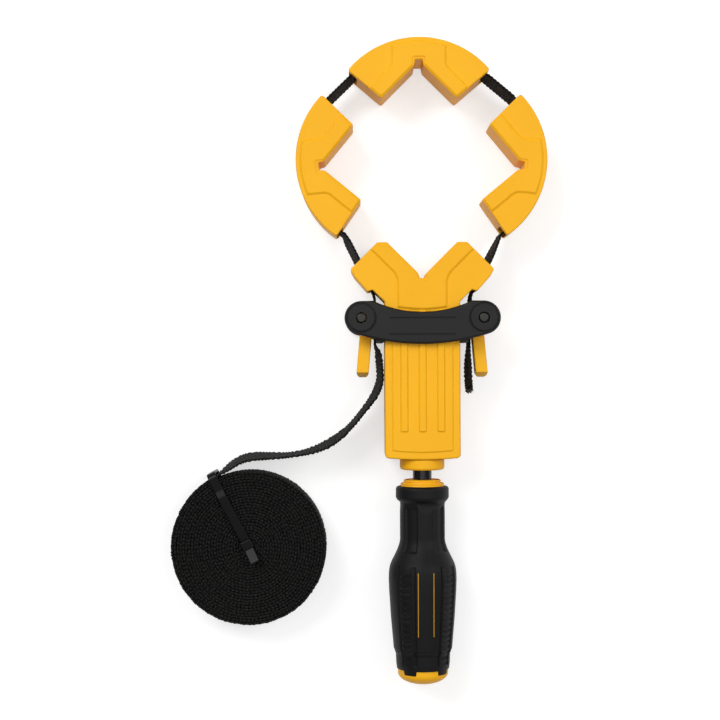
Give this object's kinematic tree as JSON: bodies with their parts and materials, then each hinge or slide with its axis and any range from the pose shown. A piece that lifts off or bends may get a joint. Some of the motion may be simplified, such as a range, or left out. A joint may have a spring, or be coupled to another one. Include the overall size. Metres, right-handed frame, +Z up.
{
  "type": "band clamp",
  "caption": "Screw-tightened band clamp: a webbing loop with V jaws, a fixed V jaw on a slotted body, a travelling yoke with cam levers, a grip handle and a coiled band tail.",
  "frame": {"origin": "bottom centre of the tool as it lies on its back, without the free band tails and their coil", "axes": "+Y along the tool from the handle to the jaws, +Z up from the table, +X to the right as seen from above"},
  "size_m": [0.1991, 0.3408, 0.036],
  "materials": {
    "yellow_plastic": "satin moulded",
    "black_plastic": "fine spark texture",
    "grip_rubber": "soft-touch matt",
    "webbing": "woven nylon",
    "dark_steel": "black oxide",
    "bronze": "turned"
  },
  "bodies": {
    "body": {"housing_front": "yellow_plastic", "housing_back": "yellow_plastic", "housing_screw_1": "dark_steel", "housing_screw_2": "dark_steel", "housing_screw_3": "dark_steel", "housing_screw_4": "dark_steel", "end_collar": "yellow_plastic", "thrust_bush": "bronze", "band_loop": "webbing", "band_link_left": "webbing", "band_link_right": "webbing"},
    "handle": {"lead_screw": "dark_steel", "thrust_washer": "bronze", "retaining_clip": "dark_steel", "handle_core": "yellow_plastic", "handle_grip": "grip_rubber", "handle_cross_pin": "dark_steel"},
    "yoke": {"yoke": "black_plastic", "pivot_pin_left": "dark_steel", "pivot_pin_right": "dark_steel", "traverse_nut": "dark_steel", "band_short_tail": "webbing", "band_long_tail": "webbing", "band_coil": "webbing", "cable_tie": "black_plastic"},
    "lever_left": {"cam_lever_left": "yellow_plastic"},
    "lever_right": {"cam_lever_right": "yellow_plastic"},
    "jaw_top": {"jaw_top": "yellow_plastic"},
    "jaw_left": {"jaw_left": "yellow_plastic"},
    "jaw_right": {"jaw_right": "yellow_plastic"}
  },
  "joints": [
    {"name": "handle_turn", "type": "hinge", "parent": "body", "child": "handle", "pos_m": [0, -0.06, 0.018], "axis": [0, 1, 0], "range_deg": [0, 5400]},
    {"name": "yoke_travel", "type": "slide", "parent": "body", "child": "yoke", "axis": [0, -1, 0], "range_m": [0, 0.045], "deforming": ["band_link_left", "band_link_right"]},
    {"name": "lever_left_pivot", "type": "hinge", "parent": "yoke", "child": "lever_left", "pos_m": [-0.0319, 0.023, 0.018], "axis": [0, 0, -1], "range_deg": [0, 75]},
    {"name": "lever_right_pivot", "type": "hinge", "parent": "yoke", "child": "lever_right", "pos_m": [0.0319, 0.023, 0.018], "axis": [0, 0, 1], "range_deg": [0, 75]},
    {"name": "jaw_top_slip", "type": "hinge", "parent": "body", "child": "jaw_top", "pos_m": [-0.0012, 0.1216, 0.0145], "axis": [0, 0, 1], "range_deg": [-4, 4]},
    {"name": "jaw_left_slip", "type": "hinge", "parent": "body", "child": "jaw_left", "pos_m": [-0.0172, 0.1062, 0.0145], "axis": [0, 0, 1], "range_deg": [-4, 4]},
    {"name": "jaw_right_slip", "type": "hinge", "parent": "body", "child": "jaw_right", "pos_m": [0.0172, 0.1062, 0.0145], "axis": [0, 0, 1], "range_deg": [-4, 4]}
  ],
  "couplings": [
    {"joint": "yoke_travel", "follows": "handle_turn", "m_per_rad": 0.00047746}
  ]
}
